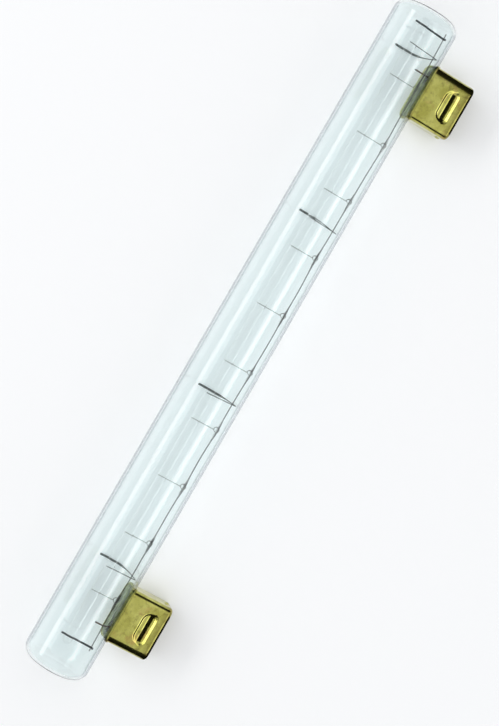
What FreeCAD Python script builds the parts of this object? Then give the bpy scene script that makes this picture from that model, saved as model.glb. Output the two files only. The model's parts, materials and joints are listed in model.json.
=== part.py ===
import FreeCAD, Part
import math
import os
import Sketcher

# Clear tubular incandescent lamp with two peg caps on its side, lying at rest.
# Lamp axes: X along the tube, Z out through the caps, Y across them; the origin is on the tube's axis.
# Every piece is drawn in those axes. One placement then lays the lamp on the floor at z = 0, where it
# rests on the tube and on the outer edge of both caps, with the middle of its outline at x = y = 0.
# All sizes are in millimetres.

SIZES = {
    # Blown glass envelope
    "tube_length": 300.0,
    "tube_diameter": 27.6,
    "tube_wall": 1.0,
    "tube_end": 1.9,
    "shoulder_radius": 5.2,
    "crown_radius": 55.0,
    # Pressed brass peg caps
    "cap_inset": 31.0,
    "cap_shift": 1.1,
    "cap_length": 23.4,
    "cap_width": 14.0,
    "cap_reach": 30.5,
    "cap_sheet": 0.6,
    "cap_corner": 3.0,
    "cap_edge": 1.4,
    "foot_lip": 0.4,
    "foot_thickness": 0.8,
    # Pressed dimples on the long sides and pips on the ends of a cap
    "dimple_length": 13.4,
    "dimple_height": 6.8,
    "dimple_depth": 1.5,
    "dimple_slope": 2.2,
    "dimple_level": 23.8,
    "pip_diameter": 2.4,
    "pip_height": 0.45,
    "pip_taper": 30.0,
    "pip_level": 27.9,
    # Cement, side seals, lead-in wires and solder inside a cap
    "cement_depth": 4.6,
    "seal_diameter": 5.0,
    "seal_neck": 3.0,
    "seal_pinch": 4.0,
    "seal_press": 2.0,
    "seal_tip": 2.0,
    "lead_inset": 4.9,
    "lead_diameter": 0.6,
    "lead_start": 6.4,
    "solder_diameter": 3.2,
    "solder_depth": 1.2,
    "solder_taper": 40.0,
    # Glass rod that carries the filament
    "rod_diameter": 3.7,
    "rod_overhang": 3.0,
    "mount_shift": 4.0,
    # Filament with its end posts
    "filament_diameter": 0.7,
    "filament_level": 10.2,
    "filament_tail": 1.6,
    "post_inset": 10.6,
    "post_diameter": 0.8,
    "post_root": 3.3,
    "post_tip": 0.9,
    # Filament supports
    "end_bay": 21.95,
    "support_shift": 2.8,
    "support_diameter": 0.3,
    "support_root": 1.4,
    "support_eye": 1.2,
    "support_flat": 0.45,
    "support_rise": 0.9,
    "support_neck": 2.3,
    "support_opening": 0.45,
    "support_turn": 42.0,
    # Centring springs against the envelope's wall
    "spring_bay": 20.75,
    "spring_shift": 15.7,
    "spring_wire": 0.4,
    "spring_blade": 0.9,
    "spring_sheet": 0.35,
    "spring_root": 0.7,
    "spring_sweep": 105.0,
    # Clearances between pieces that meet
    "seat_gap": 0.03,
    "foot_gap": 0.05,
}

SUPPORT_COUNT = 10
SPRING_COUNT = 4

# Sizes worked out from the ones above
DERIVED = {
    "tube_radius": "tube_diameter / 2",
    "bore_radius": "tube_radius - tube_wall",
    "cap_half": "cap_width / 2",
    "cap_place": "tube_length / 2 - cap_inset",
    "cap_inside": "cap_half - cap_sheet",
    "cap_ceiling": "cap_reach - cap_sheet",
    "foot_radius": "tube_radius + foot_gap",
    "solder_level": "cap_ceiling - seat_gap - solder_depth",
    "lead_radius": "lead_diameter / 2",
    "lead_offset": "cap_length / 2 - lead_inset",
    "lead_place": "cap_place + lead_offset",
    "seal_start": "tube_radius + seal_neck",
    "seal_end": "seal_start + seal_pinch + seal_tip",
    "post_spread": "tube_length / 2 - post_inset",
    "support_pitch": f"2 * (post_spread - end_bay) / {SUPPORT_COUNT - 1}",
    "spring_pitch": f"2 * (post_spread - spring_bay) / {SPRING_COUNT - 1}",
    "filament_radius": "filament_diameter / 2",
    "lead_side": "lead_radius + filament_radius + seat_gap",
    "post_radius": "post_diameter / 2",
    "post_side": "post_radius + filament_radius + seat_gap",
    "wire_radius": "support_diameter / 2",
    "eye_top": "filament_level + filament_radius + wire_radius + seat_gap",
    "eye_level": "eye_top - support_rise",
    "neck_level": "eye_level - support_neck",
    "spring_side": "spring_wire / 2 + filament_radius + seat_gap",
    "blade_outside": "bore_radius - seat_gap",
    "blade_inside": "blade_outside - spring_sheet",
    "seal_radius": "seal_diameter / 2",
    "pitch_line": "sqrt((cap_reach - cap_edge)^2 + (cap_half - cap_edge)^2)",
    "rise_angle": "asin((tube_radius - cap_edge) / pitch_line)",
    "rest_tilt": "rise_angle - atan2(cap_half - cap_edge; cap_reach - cap_edge)",
    "lay_angle": "90 deg + rest_tilt",
    "flat_reach": "(cap_reach - cap_edge) * cos(rest_tilt) + (cap_half - cap_edge) * sin(rest_tilt)",
    "axis_place": "(flat_reach + cap_edge - tube_radius) / 2",
}

doc = FreeCAD.newDocument("tubular_lamp")
sheet = doc.addObject("Spreadsheet::Sheet", "sizes")

PARTS = []


def fill_sheet():
    """Write the driving sizes, then the worked-out ones, each with its alias."""
    row = 1
    for name, number in SIZES.items():
        sheet.set(f"A{row}", name)
        sheet.set(f"B{row}", str(number))
        sheet.setAlias(f"B{row}", name)
        row += 1
    for name, formula in DERIVED.items():
        sheet.set(f"A{row}", name)
        sheet.set(f"B{row}", "=" + formula)
        sheet.setAlias(f"B{row}", name)
        row += 1
    doc.recompute()


def bound(formula):
    """Turn a formula of size names into one that another object can hold."""
    words = []
    word = ""
    for letter in formula + " ":
        if letter.isalnum() or letter == "_":
            word += letter
            continue
        known = word in SIZES or word in DERIVED
        words.append("sizes." + word if known else word)
        words.append(letter)
        word = ""
    return "".join(words).strip()


def value(formula):
    """The number that a formula of size names gives now."""
    result = sheet.evalExpression(bound(formula))
    return float(getattr(result, "Value", result))


def bind(target, path, formula):
    target.setExpression(path, bound(formula))


def new_body(name, along="0"):
    """A body of the lamp, laid down with the rest at its place along the tube."""
    body = doc.addObject("PartDesign::Body", name)
    body.Label = name
    centre = f"vector({along}; axis_place; tube_radius)"
    bind(body, "Placement", f"placement({centre}; rotation(vector(1; 0; 0); lay_angle))")
    PARTS.append(body)
    return body


def new_sketch(body, role, name, raised="0", turned=None):
    """A sketch on one of the body's own origin planes, raised along the plane's normal."""
    sketch = body.newObject("Sketcher::SketchObject", name)
    plane = next(f for f in body.Origin.OriginFeatures if f.Role == role)
    sketch.AttachmentSupport = [(plane, "")]
    sketch.MapMode = "FlatFace"
    if turned:
        shift = f"vector(0; 0; {raised})"
        bind(sketch, "AttachmentOffset", f"placement({shift}; rotation(vector(0; 1; 0); {turned}))")
    else:
        bind(sketch, "AttachmentOffset.Base.z", raised)
    return sketch


def hold(sketch, kind, geometry, point, formula):
    """Bind one distance of a point from the sketch's origin."""
    if formula == "0":
        axis = -2 if kind == "DistanceX" else -1
        sketch.addConstraint(Sketcher.Constraint("PointOnObject", geometry, point, axis))
        return
    index = sketch.addConstraint(Sketcher.Constraint(kind, geometry, point, value(formula)))
    bind(sketch, f"Constraints[{index}]", formula)


def hold_radius(sketch, geometry, formula):
    index = sketch.addConstraint(Sketcher.Constraint("Radius", geometry, value(formula)))
    bind(sketch, f"Constraints[{index}]", formula)


def join(sketch, first, second, kind="Tangent"):
    """Join the end of one edge to the start of the next."""
    sketch.addConstraint(Sketcher.Constraint(kind, first, 2, second, 1))


def add_line(sketch, start, end):
    line = Part.LineSegment(FreeCAD.Vector(*start, 0), FreeCAD.Vector(*end, 0))
    return sketch.addGeometry(line, False)


def add_arc(sketch, centre, radius, start, end):
    circle = Part.Circle(FreeCAD.Vector(*centre, 0), FreeCAD.Vector(0, 0, 1), radius)
    return sketch.addGeometry(Part.ArcOfCircle(circle, start, end), False)


def draw_circle(sketch, across, up, radius):
    centre = FreeCAD.Vector(value(across), value(up), 0)
    ring = sketch.addGeometry(Part.Circle(centre, FreeCAD.Vector(0, 0, 1), value(radius)), False)
    hold(sketch, "DistanceX", ring, 3, across)
    hold(sketch, "DistanceY", ring, 3, up)
    hold_radius(sketch, ring, radius)


def draw_polygon(sketch, corners):
    """A closed outline of straight edges through corners given as pairs of formulas."""
    count = len(corners)
    points = [(value(across), value(up)) for across, up in corners]
    lines = [add_line(sketch, points[i], points[(i + 1) % count]) for i in range(count)]
    for i, line in enumerate(lines):
        join(sketch, line, lines[(i + 1) % count], "Coincident")
        hold(sketch, "DistanceX", line, 1, corners[i][0])
        hold(sketch, "DistanceY", line, 1, corners[i][1])


def draw_route(sketch, corners):
    """An open run of straight edges through corners given as pairs of formulas."""
    points = [(value(across), value(up)) for across, up in corners]
    lines = [add_line(sketch, start, end) for start, end in zip(points, points[1:])]
    for i, line in enumerate(lines):
        hold(sketch, "DistanceX", line, 1, corners[i][0])
        hold(sketch, "DistanceY", line, 1, corners[i][1])
        if i:
            join(sketch, lines[i - 1], line, "Coincident")
    hold(sketch, "DistanceX", lines[-1], 2, corners[-1][0])
    hold(sketch, "DistanceY", lines[-1], 2, corners[-1][1])


def draw_rectangle(sketch, left, right, bottom, top):
    draw_polygon(sketch, [(left, bottom), (right, bottom), (right, top), (left, top)])


def draw_hexagon(sketch, across, up, radius):
    """Six-sided section for the thinnest wires, with its corners on the wire's round outline."""
    corners = []
    for i in range(6):
        corners.append((f"{across} + {radius} * cos({60 * i})", f"{up} + {radius} * sin({60 * i})"))
    draw_polygon(sketch, corners)


def draw_rounded(sketch, half_across, half_up, corner):
    """A rectangle with round corners about the sketch's origin."""
    reach_x = value(half_across) - value(corner)
    reach_y = value(half_up) - value(corner)
    radius = value(corner)
    turns = [(1, -1, -90), (1, 1, 0), (-1, 1, 90), (-1, -1, 180)]
    edges = []
    for side_x, side_y, angle in turns:
        centre = (side_x * reach_x, side_y * reach_y)
        start = math.radians(angle)
        arc = add_arc(sketch, centre, radius, start, start + math.pi / 2)
        end_x = centre[0] + radius * math.cos(start + math.pi / 2)
        end_y = centre[1] + radius * math.sin(start + math.pi / 2)
        edges.append((arc, (end_x, end_y)))
        sign_x = "" if side_x > 0 else "-"
        sign_y = "" if side_y > 0 else "-"
        hold(sketch, "DistanceX", arc, 3, f"{sign_x}({half_across} - ({corner}))")
        hold(sketch, "DistanceY", arc, 3, f"{sign_y}({half_up} - ({corner}))")
        hold_radius(sketch, arc, corner)
    for i, (arc, end) in enumerate(edges):
        following = edges[(i + 1) % 4][0]
        start = sketch.Geometry[following].StartPoint
        line = add_line(sketch, end, (start.x, start.y))
        join(sketch, arc, line)
        join(sketch, line, following)


def draw_slot(sketch, half_length, radius, up):
    """A slot along the tube: two half circles joined by two lines."""
    lift = value(up)
    half = value(half_length) - value(radius)
    size = value(radius)
    right = add_arc(sketch, (half, lift), size, -math.pi / 2, math.pi / 2)
    left = add_arc(sketch, (-half, lift), size, math.pi / 2, 3 * math.pi / 2)
    top = add_line(sketch, (half, lift + size), (-half, lift + size))
    bottom = add_line(sketch, (-half, lift - size), (half, lift - size))
    for first, second in ((right, top), (top, left), (left, bottom), (bottom, right)):
        join(sketch, first, second)
    for arc, sign in ((right, ""), (left, "-")):
        hold(sketch, "DistanceX", arc, 3, f"{sign}({half_length} - {radius})")
        hold(sketch, "DistanceY", arc, 3, up)
        hold_radius(sketch, arc, radius)


def draw_blown(sketch):
    """Half section of the envelope: a straight wall, round shoulders and a shallow crown at each end."""
    top, small, large = value("tube_radius"), value("shoulder_radius"), value("crown_radius")
    end = value("tube_length / 2")
    run = math.sqrt((large - small) ** 2 - (top - small) ** 2)
    lean = math.atan2(top - small, run)
    middle = end - large
    crown_right = add_arc(sketch, (middle, 0), large, 0, lean)
    shoulder_right = add_arc(sketch, (middle + run, top - small), small, lean, math.pi / 2)
    wall = add_line(sketch, (middle + run, top), (-middle - run, top))
    shoulder_left = add_arc(sketch, (-middle - run, top - small), small, math.pi / 2, math.pi - lean)
    crown_left = add_arc(sketch, (-middle, 0), large, math.pi - lean, math.pi)
    axis = add_line(sketch, (-end, 0), (end, 0))
    outline = [crown_right, shoulder_right, wall, shoulder_left, crown_left]
    for first, second in zip(outline, outline[1:]):
        join(sketch, first, second)
    join(sketch, crown_left, axis, "Coincident")
    join(sketch, axis, crown_right, "Coincident")
    for arc, point, sign in ((crown_right, 1, ""), (crown_left, 2, "-")):
        hold(sketch, "DistanceX", arc, point, sign + "tube_length / 2")
        hold(sketch, "DistanceY", arc, point, "0")
        hold(sketch, "DistanceY", arc, 3, "0")
        hold_radius(sketch, arc, "crown_radius")
    hold_radius(sketch, shoulder_right, "shoulder_radius")
    hold_radius(sketch, shoulder_left, "shoulder_radius")
    hold(sketch, "DistanceY", wall, 1, "tube_radius")
    hold(sketch, "DistanceY", wall, 2, "tube_radius")


def draw_bore(sketch):
    """Half section of the hollow: the glass is thicker in the corners, where it was drawn together."""
    end = "(tube_length / 2 - tube_end)"
    step = "(shoulder_radius - tube_wall)"
    corners = [(f"-{end}", "0"), (end, "0")]
    corners += [(end, f"bore_radius - {step}"), (f"{end} - {step}", "bore_radius")]
    corners += [(f"-{end} + {step}", "bore_radius"), (f"-{end}", f"bore_radius - {step}")]
    draw_polygon(sketch, corners)


def pad(body, sketch, length, name, side="One side", reversed_way=False):
    feature = body.newObject("PartDesign::Pad", name)
    feature.Profile = sketch
    feature.SideType = side
    feature.Reversed = reversed_way
    bind(feature, "Length", length)
    return feature


def pocket(body, sketch, depth, name, side="One side"):
    """Cut along the sketch's normal; a cut that takes nothing away stops the build."""
    doc.recompute()
    before = body.Shape.Volume
    feature = body.newObject("PartDesign::Pocket", name)
    feature.Profile = sketch
    feature.SideType = side
    feature.Reversed = True
    bind(feature, "Length", depth)
    doc.recompute()
    if not body.Shape.Volume < before:
        raise RuntimeError(f"{body.Label}: {name} cuts nothing")
    return feature


def turn(body, sketch, kind, name, angle="360"):
    """Revolve a sketch about the tube's axis, to add to the body or to cut it."""
    feature = body.newObject(f"PartDesign::{kind}", name)
    feature.Profile = sketch
    feature.ReferenceAxis = (sketch, ["H_Axis"])
    feature.Midplane = True
    bind(feature, "Angle", angle)
    return feature


def loft(body, kind, sections, name):
    feature = body.newObject(f"PartDesign::{kind}", name)
    feature.Profile = sections[0]
    feature.Sections = sections[1:]
    return feature


def round_edges(body, feature, radius, name, wanted):
    """Round the edges whose middle the test picks, in lamp axes."""
    doc.recompute()
    body.Placement, laid = FreeCAD.Placement(), body.Placement
    names = []
    for i, edge in enumerate(feature.Shape.Edges):
        middle = edge.valueAt((edge.FirstParameter + edge.LastParameter) / 2)
        if wanted(middle):
            names.append(f"Edge{i + 1}")
    body.Placement = laid
    fillet = body.newObject("PartDesign::Fillet", name)
    fillet.Base = (feature, names)
    bind(fillet, "Radius", radius)


def near(first, second):
    return abs(first - second) < 1e-4


def make_tube():
    """Blown tube, hollow and closed, with a round hole under each cap for its seal."""
    body = new_body("glass_tube")
    outside = new_sketch(body, "XZ_Plane", "tube_outside")
    draw_blown(outside)
    turn(body, outside, "Revolution", "tube_blank")
    inside = new_sketch(body, "XZ_Plane", "tube_inside")
    draw_bore(inside)
    turn(body, inside, "Groove", "tube_bore")
    holes = new_sketch(body, "XY_Plane", "seal_holes")
    for sign in ("+", "-"):
        draw_circle(holes, f"cap_shift {sign} lead_place", "-lead_side", "seal_radius + seat_gap")
    pocket(body, holes, "tube_diameter", "seal_hole")


def make_cap(name, place):
    """Pressed brass shell: saddle foot with a lip, a dimple on both long sides, a pip on both ends."""
    body = new_body(name, place)
    plan = new_sketch(body, "XY_Plane", "cap_plan")
    draw_rounded(plan, "cap_length / 2", "cap_half", "cap_corner")
    block = pad(body, plan, "cap_reach", "cap_block")
    outer = value("cap_reach")
    round_edges(body, block, "cap_edge", "outer_rim", lambda middle: near(middle.z, outer))

    lip = new_sketch(body, "XZ_Plane", "lip_section")
    reach = "(cap_length / 2 + foot_lip)"
    draw_rectangle(lip, "-" + reach, reach, "tube_radius", "tube_radius + foot_thickness")
    turn(body, lip, "Revolution", "foot_lip", "2 * asin((cap_half + foot_lip) / tube_radius)")

    cavity = new_sketch(body, "XY_Plane", "cavity_plan")
    draw_rounded(cavity, "cap_length / 2 - cap_sheet", "cap_inside", "cap_corner - cap_sheet")
    pocket(body, cavity, "cap_ceiling", "cavity")

    for side, sign in (("front", "-"), ("back", "")):
        make_dimple(body, side, sign)
    for side, sign in (("near", ""), ("far", "-")):
        pip = new_sketch(body, "YZ_Plane", f"pip_{side}", f"{sign}(cap_length / 2 - cap_sheet / 2)")
        draw_circle(pip, "0", "pip_level", "pip_diameter / 2")
        feature = pad(body, pip, "cap_sheet / 2 + pip_height", f"{side}_pip", reversed_way=sign == "-")
        bind(feature, "TaperAngle", "-pip_taper")

    saddle = new_sketch(body, "XZ_Plane", "saddle_section")
    draw_rectangle(saddle, "-cap_length", "cap_length", "0", "foot_radius")
    turn(body, saddle, "Groove", "saddle")


def make_dimple(body, side, sign):
    """One pressed dimple: the sheet is pushed in, so the inner face gains what the outer one loses."""
    rim = f"{sign}(cap_half - cap_sheet / 2)"
    floor = f"{sign}(cap_half - dimple_depth - cap_sheet)"
    boss = []
    for level, place, inset in (("rim", rim, "0"), ("floor", floor, "dimple_slope")):
        section = new_sketch(body, "XZ_Plane", f"{side}_boss_{level}", place)
        half = f"(dimple_length / 2 + cap_sheet - {inset})"
        draw_slot(section, half, f"(dimple_height / 2 + cap_sheet - {inset})", "dimple_level")
        boss.append(section)
    loft(body, "AdditiveLoft", boss, f"{side}_boss")

    skin = f"{sign}cap_half"
    pit = f"{sign}(cap_half - dimple_depth)"
    dent = []
    for level, place, inset in (("rim", skin, "0"), ("floor", pit, "dimple_slope")):
        section = new_sketch(body, "XZ_Plane", f"{side}_dent_{level}", place)
        half = f"(dimple_length / 2 - {inset})"
        draw_slot(section, half, f"(dimple_height / 2 - {inset})", "dimple_level")
        dent.append(section)
    loft(body, "SubtractiveLoft", dent, f"{side}_dimple")


def make_cement(name, place, lead):
    """Cement bed between the tube and the cap, moulded round the side seal."""
    body = new_body(name, place)
    plan = new_sketch(body, "XY_Plane", "bed_plan")
    inset = "(cap_sheet + foot_gap)"
    draw_rounded(plan, f"cap_length / 2 - {inset}", f"cap_half - {inset}", f"cap_corner - {inset}")
    pad(body, plan, "tube_radius + cement_depth", "bed")
    saddle = new_sketch(body, "XZ_Plane", "bed_saddle")
    draw_rectangle(saddle, "-cap_length", "cap_length", "0", "foot_radius")
    turn(body, saddle, "Groove", "bed_foot")
    hole = new_sketch(body, "XY_Plane", "seal_way")
    draw_circle(hole, lead, "-lead_side", "seal_radius + foot_gap")
    pocket(body, hole, "cap_reach", "seal_hole")


def make_seal(name, place):
    """Side seal: a short glass neck that is pressed flat round the lead-in wire."""
    body = new_body(name, place)
    ring = new_sketch(body, "XY_Plane", "neck_ring", "bore_radius")
    draw_circle(ring, "0", "-lead_side", "seal_radius")
    pad(body, ring, "seal_end - bore_radius", "neck")
    flats = new_sketch(body, "YZ_Plane", "pressed_flats")
    for sign in ("-", "+"):
        near_side = f"-lead_side {sign} seal_press / 2"
        far_side = f"-lead_side {sign} seal_diameter"
        edge = f"-lead_side {sign} seal_radius"
        root = "seal_start"
        corners = [(near_side, "cap_reach"), (far_side, "cap_reach"), (far_side, root), (edge, root)]
        draw_polygon(flats, corners + [(near_side, "seal_start + seal_pinch")])
    pocket(body, flats, "2 * seal_diameter", "press", side="Symmetric")
    way = new_sketch(body, "XY_Plane", "wire_way")
    draw_hexagon(way, "0", "-lead_side", "(lead_radius + seat_gap)")
    pocket(body, way, "cap_reach", "wire_hole")


def make_lead(name, place):
    """Lead-in wire from the filament out through the seal to the solder."""
    body = new_body(name, place)
    section = new_sketch(body, "XY_Plane", "wire_section", "lead_start")
    draw_hexagon(section, "0", "-lead_side", "lead_radius")
    pad(body, section, "solder_level - seat_gap - lead_start", "wire")


def make_solder(name, place):
    """Solder bead that joins the wire to the inside of the cap's outer face."""
    body = new_body(name, place)
    section = new_sketch(body, "XY_Plane", "bead_plan", "cap_ceiling - seat_gap")
    draw_circle(section, "0", "-lead_side", "solder_diameter / 2")
    bead = pad(body, section, "solder_depth", "bead", reversed_way=True)
    bind(bead, "TaperAngle", "-solder_taper")


def make_rod():
    """Glass rod on the tube's axis, with a seat for each wire that is sunk in it."""
    body = new_body("glass_support_rod", "mount_shift")
    section = new_sketch(body, "YZ_Plane", "rod_section")
    draw_circle(section, "0", "0", "rod_diameter / 2")
    pad(body, section, "2 * (post_spread + rod_overhang)", "rod", side="Symmetric")

    posts = new_sketch(body, "XY_Plane", "post_seats", "-post_root - seat_gap")
    for sign in ("", "-"):
        draw_circle(posts, sign + "post_spread", "-post_side", "post_radius + seat_gap")
    pocket(body, posts, "post_root + rod_diameter", "post_seat")

    supports = new_sketch(body, "XY_Plane", "support_seats", "-support_root - seat_gap")
    for i in range(SUPPORT_COUNT):
        draw_hexagon(supports, f"{support_place(i)} - mount_shift", "0", "(wire_radius + seat_gap)")
    pocket(body, supports, "support_root + rod_diameter", "support_seat")

    springs = new_sketch(body, "XY_Plane", "spring_seats", "-spring_root - seat_gap")
    for i in range(SPRING_COUNT):
        place = f"{spring_place(i)} - mount_shift"
        draw_hexagon(springs, place, "-spring_side", "(spring_wire / 2 + seat_gap)")
    pocket(body, springs, "spring_root + rod_diameter", "spring_seat")


def support_place(i):
    """Place of a support along the tube, counted from the far end."""
    steps = (SUPPORT_COUNT - 1) / 2 - i
    return f"(support_shift + {steps} * support_pitch)"


def spring_place(i):
    """Place of a centring spring along the tube, counted from the far end."""
    steps = (SPRING_COUNT - 1) / 2 - i
    return f"(spring_shift + {steps} * spring_pitch)"


def make_filament():
    """Outline of the coiled filament that runs straight from post to post."""
    body = new_body("filament", "mount_shift")
    section = new_sketch(body, "YZ_Plane", "coil_section")
    draw_circle(section, "0", "filament_level", "filament_radius")
    pad(body, section, "2 * (post_spread + filament_tail)", "coil", side="Symmetric")


def make_post(name, place):
    """Stiff end post through the rod, with the filament's end on its side."""
    body = new_body(name, place)
    section = new_sketch(body, "XY_Plane", "post_section", "-post_root")
    draw_circle(section, "0", "-post_side", "post_radius")
    pad(body, section, "post_root + filament_level + post_tip", "post")


def make_support(name, place):
    """Thin wire from the rod that opens into a bent eye, with the filament against its flat top."""
    body = new_body(name, place)
    path = new_sketch(body, "XZ_Plane", "support_path", turned="support_turn")
    route = [("0", "-support_root"), ("0", "neck_level"), ("support_eye", "eye_level")]
    route += [("support_flat", "eye_top"), ("-support_flat", "eye_top"), ("-support_eye", "eye_level")]
    share = "support_opening / support_eye"
    route += [("-support_opening", f"neck_level + {share} * (eye_level - neck_level)")]
    draw_route(path, route)
    section = new_sketch(body, "XY_Plane", "support_section", "-support_root")
    draw_hexagon(section, "0", "0", "wire_radius")
    pipe = body.newObject("PartDesign::AdditivePipe", "support")
    pipe.Profile = section
    pipe.Spine = path
    pipe.Transition = "Right corner"


def make_spring(name, place):
    """Centring spring: a thin arm that passes beside the filament to a blade along the tube's wall."""
    body = new_body(name, place)
    root = new_sketch(body, "XY_Plane", "arm_section", "-spring_root")
    draw_hexagon(root, "0", "-spring_side", "spring_wire / 2")
    tip = "sqrt((blade_inside + spring_sheet / 2)^2 - spring_side^2)"
    pad(body, root, f"spring_root + {tip}", "arm")
    strip = new_sketch(body, "XZ_Plane", "blade_section")
    draw_rectangle(strip, "-spring_blade / 2", "spring_blade / 2", "blade_inside", "blade_outside")
    blade = body.newObject("PartDesign::Revolution", "blade")
    blade.Profile = strip
    blade.ReferenceAxis = (strip, ["H_Axis"])
    bind(blade, "Angle", "spring_sweep")


def build():
    fill_sheet()
    make_tube()
    for end, sign in (("upper", "+"), ("lower", "-")):
        cap = f"cap_shift {sign} cap_place"
        lead = f"cap_shift {sign} lead_place"
        make_cap(f"peg_cap_{end}", cap)
        make_cement(f"cap_cement_{end}", cap, f"{sign}lead_offset")
        make_seal(f"side_seal_{end}", lead)
        make_lead(f"lead_wire_{end}", lead)
        make_solder(f"solder_bead_{end}", lead)
        make_post(f"end_post_{end}", f"mount_shift {sign} post_spread")
    make_rod()
    make_filament()
    for i in range(SUPPORT_COUNT):
        make_support(f"filament_support_{i + 1:02d}", support_place(i))
    for i in range(SPRING_COUNT):
        make_spring(f"centring_spring_{i + 1}", spring_place(i))
    doc.recompute()


def check():
    """Stop before anything is written if a feature failed or a piece isn't one sound solid."""
    for item in doc.Objects:
        if "Invalid" in item.State or "Error" in item.State:
            raise RuntimeError(f"{item.Label}: {item.State}")
    for body in PARTS:
        shape = body.Shape
        if shape.isNull() or not shape.isValid() or len(shape.Solids) != 1:
            raise RuntimeError(f"{body.Label}: not one valid solid")


def write():
    os.makedirs("parts", exist_ok=True)
    for body in PARTS:
        body.Shape.exportStep(f"parts/{body.Label}.step")
        box = body.Shape.BoundBox
        print(f"{body.Label:22s} {body.Shape.Volume:10.2f} mm3  z {box.ZMin:7.3f} to {box.ZMax:7.3f}")


build()
check()
write()
print("tilt at rest", sheet.rest_tilt, "axis at y", sheet.axis_place)
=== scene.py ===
import json
import math

import bmesh
import bpy
from mathutils import Matrix, Vector


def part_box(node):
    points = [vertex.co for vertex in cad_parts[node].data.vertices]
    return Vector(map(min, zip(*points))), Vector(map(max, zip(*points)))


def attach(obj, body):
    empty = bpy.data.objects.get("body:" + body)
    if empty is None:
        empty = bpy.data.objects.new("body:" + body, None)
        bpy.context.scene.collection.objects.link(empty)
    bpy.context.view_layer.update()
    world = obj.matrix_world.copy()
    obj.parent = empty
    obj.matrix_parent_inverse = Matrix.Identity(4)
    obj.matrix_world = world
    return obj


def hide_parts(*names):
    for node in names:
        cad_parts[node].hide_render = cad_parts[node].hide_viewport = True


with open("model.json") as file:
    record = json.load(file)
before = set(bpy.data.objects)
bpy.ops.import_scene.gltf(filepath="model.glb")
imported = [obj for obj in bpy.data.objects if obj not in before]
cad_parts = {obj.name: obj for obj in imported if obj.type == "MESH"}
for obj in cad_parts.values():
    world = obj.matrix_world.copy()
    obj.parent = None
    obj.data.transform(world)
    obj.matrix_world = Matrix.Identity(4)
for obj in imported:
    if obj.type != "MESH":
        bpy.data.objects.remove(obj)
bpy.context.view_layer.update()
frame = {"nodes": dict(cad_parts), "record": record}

# Clear linear lamp with two peg caps, lying on a pale floor and seen from straight above.
# Pieces are modelled in lamp axes: X along the tube, Z out through the caps, Y across them, with the
# origin on the tube's axis. LAMP then lays them down where the frame has them. Sizes are in metres
# where nothing else is said.

MM = 0.001
BODY = "root"
ENDS = ("upper", "lower")

# Places read from the frame. The caps stop a hair short, so that rounding never takes them past the CAD
CAP_SLACK = 0.003 * MM
mounts = {mount["name"]: mount for mount in frame["record"]["mounts"]}
tube_low, tube_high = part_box("glass_tube")
RADIUS = (tube_high.z - tube_low.z) / 2
HALF_LENGTH = (tube_high.x - tube_low.x) / 2
AXIS = Vector((0.0, (tube_low.y + tube_high.y) / 2, tube_low.z + RADIUS))
OUT = Vector(mounts["contact_face_upper"]["axis"]).normalized()
ACROSS = OUT.cross(Vector((1, 0, 0))).normalized()
LAMP = Matrix.Translation(AXIS) @ Matrix((Vector((1, 0, 0)), ACROSS, OUT)).transposed().to_4x4()
CAP_REACH = (Vector(mounts["contact_face_upper"]["pos_m"]) - AXIS).dot(OUT) - CAP_SLACK
CAP_PLACES = {end: mounts[f"contact_face_{end}"]["pos_m"][0] for end in ENDS}

# Mesh making: what counts as touching, the widest seam to close, fold angles in degrees, the sides of
# thin and thick wires, and how finely a bend is divided
TOUCH = 0.01 * MM
SEAM = 0.002 * MM
SMOOTH_ANGLE = 60
FOLD_ANGLE = 50
THIN_SIDES = 8
THICK_SIDES = 14
BEND_ERROR = 0.01 * MM
BEND_STEP = math.radians(18)

# Blown envelope
TUBE_WALL = 1.0 * MM
TUBE_STEPS = 144
SHOULDER = 5.2 * MM
SHOULDER_STEPS = 16
CROWN = 55.0 * MM
CROWN_STEPS = 8

# Pressed caps
CAP_HALF_LENGTH = 11.7 * MM
CAP_HALF_WIDTH = 7.0 * MM
CAP_SHEET = 0.6 * MM
CAP_START = 0.5 * RADIUS
CAP_CORNER = 3.0 * MM
CAP_CORNER_STEPS = 10
CAP_EDGE = 1.4 * MM
CAP_EDGE_STEPS = 7
FOOT_GAP = 0.05 * MM
FOOT_LIP = 0.4 * MM
# The dimple is a shelf with a slot in it. SHELF_EDGE and SLOT_LEAN are shares of their half heights: where
# the shelf's edge starts, and how far off its middle the slot is deepest. PIP_TOP is the flat share of a pip
DIMPLE_LEVEL = 23.8 * MM
DIMPLE_HALF_LENGTH = 6.7 * MM
DIMPLE_HALF_HEIGHT = 3.4 * MM
DIMPLE_SHELF = 0.22 * MM
DIMPLE_DEPTH = 1.25 * MM
SHELF_EDGE = 0.8
SLOT_PLACE = 0.9 * MM
SLOT_HALF = 1.85 * MM
SLOT_LEAN = 0.28
PIP_LEVEL = 27.9 * MM
PIP_RADIUS = 1.3 * MM
PIP_HEIGHT = 0.45 * MM
PIP_TOP = 0.35
# Rings cut across the cap for its dimples and pips to be pressed from: first, last, step and direction
CAP_RINGS = (
    (-7.2 * MM, 7.2 * MM, 0.3 * MM, (1, 0, 0)),
    (-3.6 * MM, 3.6 * MM, 0.4 * MM, (0, 1, 0)),
    (16.0 * MM, 19.4 * MM, 1.7 * MM, (0, 0, 1)),
    (20.0 * MM, 29.0 * MM, 0.3 * MM, (0, 0, 1)),
)

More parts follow.
